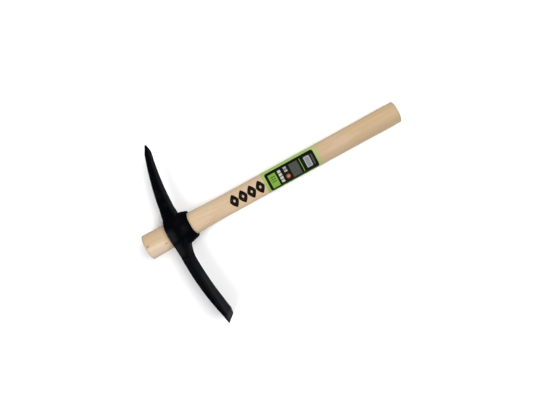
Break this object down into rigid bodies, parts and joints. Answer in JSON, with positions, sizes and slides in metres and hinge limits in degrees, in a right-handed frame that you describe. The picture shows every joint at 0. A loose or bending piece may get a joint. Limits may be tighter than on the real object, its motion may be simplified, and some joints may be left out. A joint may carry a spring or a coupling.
{
  "type": "pick mattock",
  "caption": "Pick mattock: a forged head with a square pick and a flared digging blade, on a short oval wooden handle that tapers through its eye.",
  "frame": {"origin": "centre of the handle's flat top end, the end that stands out of the head's eye", "axes": "+X along the handle from its top end to the grip end, +Y from the handle towards the pick's point, -Y towards the mattock's cutting edge, +Z square to the plane that holds the handle, the pick and the blade"},
  "size_m": [0.6, 0.415, 0.071],
  "materials": {
    "handle_wood": "pale hardwood, sanded and thinly lacquered, with fine lengthwise grain",
    "label_film": "printed film, green with a dark panel, slight gloss",
    "head_paint": "black satin paint over a forged steel surface"
  },
  "bodies": {
    "handle": {"wooden_handle": "handle_wood", "wrap_label": "label_film"},
    "head": {"pick_mattock_head": "head_paint"}
  },
  "joints": [
    {"name": "head_slide", "type": "slide", "parent": "handle", "child": "head", "axis": [1, 0, 0], "range_m": [0, 0.56]}
  ]
}
